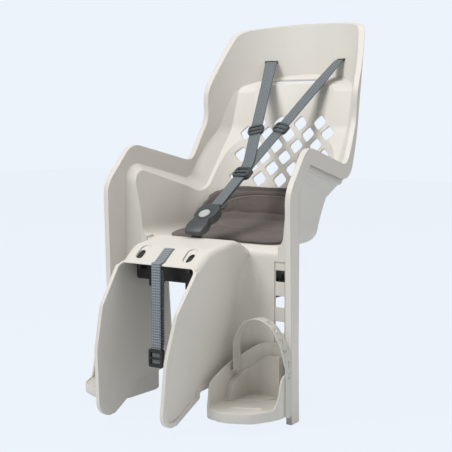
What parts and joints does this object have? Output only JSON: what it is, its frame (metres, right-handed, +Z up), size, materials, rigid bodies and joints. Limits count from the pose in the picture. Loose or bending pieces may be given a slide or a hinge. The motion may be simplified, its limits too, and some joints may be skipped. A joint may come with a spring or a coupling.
{
  "type": "child bike seat",
  "caption": "Rear child bike seat: one-piece plastic shell with leg shields and wheel tunnel, harness with buckle, sliding footrests and a clamp for a luggage rack.",
  "frame": {"origin": "on the rack face, the flat underside of the carrier block, in the seat's mirror plane", "axes": "+Z up, -Y the way the child faces, +X to the child's left"},
  "size_m": [0.4534, 0.6525, 0.7699],
  "materials": {
    "shell_plastic": "satin moulded",
    "footrest_plastic": "satin moulded",
    "cushion_fabric": "woven, stitched",
    "harness_webbing": "ribbed webbing",
    "safety_webbing": "ribbed webbing",
    "strap_rubber": "smooth",
    "dark_plastic": "satin moulded",
    "button_plastic": "satin moulded",
    "block_plastic": "satin moulded",
    "pad_rubber": "matt",
    "plated_steel": "zinc plated"
  },
  "bodies": {
    "seat": {"seat_shell": "shell_plastic", "seat_cushion": "cushion_fabric", "shoulder_strap_left": "harness_webbing", "shoulder_strap_right": "harness_webbing", "strap_retainer_left": "dark_plastic", "strap_retainer_right": "dark_plastic", "buckle_body": "dark_plastic", "button_spring": "plated_steel", "buckle_tongue": "dark_plastic", "crotch_strap": "harness_webbing", "crotch_strap_retainer": "dark_plastic", "safety_strap": "safety_webbing", "safety_strap_retainer": "dark_plastic", "ladder_lock": "block_plastic", "carrier_block": "block_plastic", "block_bolts": "plated_steel", "block_washers": "plated_steel", "block_nuts": "plated_steel"},
    "footrest_left": {"footrest_left": "footrest_plastic", "foot_strap_left": "strap_rubber", "footrest_latch_left": "footrest_plastic"},
    "footrest_right": {"footrest_right": "footrest_plastic", "foot_strap_right": "strap_rubber", "footrest_latch_right": "footrest_plastic"},
    "slider_left": {"slider_left": "dark_plastic"},
    "slider_right": {"slider_right": "dark_plastic"},
    "slider_lower": {"slider_lower": "dark_plastic"},
    "button": {"buckle_button": "button_plastic"},
    "spindle": {"clamp_spindle": "plated_steel", "clamp_knob": "block_plastic"},
    "jaw_left": {"clamp_jaw_left": "block_plastic", "jaw_pad_left": "pad_rubber"},
    "jaw_right": {"clamp_jaw_right": "block_plastic", "jaw_pad_right": "pad_rubber"}
  },
  "joints": [
    {"name": "footrest_left_height", "type": "slide", "parent": "seat", "child": "footrest_left", "axis": [0, 0, 1], "range_m": [0, 0.1455], "deforming": ["footrest_latch_left"]},
    {"name": "footrest_right_height", "type": "slide", "parent": "seat", "child": "footrest_right", "axis": [0, 0, 1], "range_m": [0, 0.1455], "deforming": ["footrest_latch_right"]},
    {"name": "slider_left_along_strap", "type": "slide", "parent": "seat", "child": "slider_left", "axis": [-0.2647, -0.6795, -0.6843], "range_m": [-0.04, 0.02]},
    {"name": "slider_right_along_strap", "type": "slide", "parent": "seat", "child": "slider_right", "axis": [0.2647, -0.6795, -0.6843], "range_m": [-0.04, 0.02]},
    {"name": "slider_lower_along_strap", "type": "slide", "parent": "seat", "child": "slider_lower", "axis": [0, -0.8329, -0.5534], "range_m": [0, 0.04]},
    {"name": "button_press", "type": "slide", "parent": "seat", "child": "button", "axis": [0, 0.5534, -0.8329], "range_m": [0, 0.0025], "stiffness_N_per_m": 1500, "springref_m": -0.001, "deforming": ["button_spring"]},
    {"name": "knob_turn", "type": "hinge", "parent": "seat", "child": "spindle", "pos_m": [0, 0.06, -0.022], "axis": [1, 0, 0], "range_deg": [0, 960]},
    {"name": "jaw_left_open", "type": "slide", "parent": "seat", "child": "jaw_left", "axis": [1, 0, 0], "range_m": [0, 0.008]},
    {"name": "jaw_right_open", "type": "slide", "parent": "seat", "child": "jaw_right", "axis": [-1, 0, 0], "range_m": [0, 0.008]}
  ],
  "couplings": [
    {"joint": "jaw_right_open", "follows": "jaw_left_open", "ratio": 1},
    {"joint": "knob_turn", "follows": "jaw_left_open", "rad_per_m": 2094.4}
  ]
}
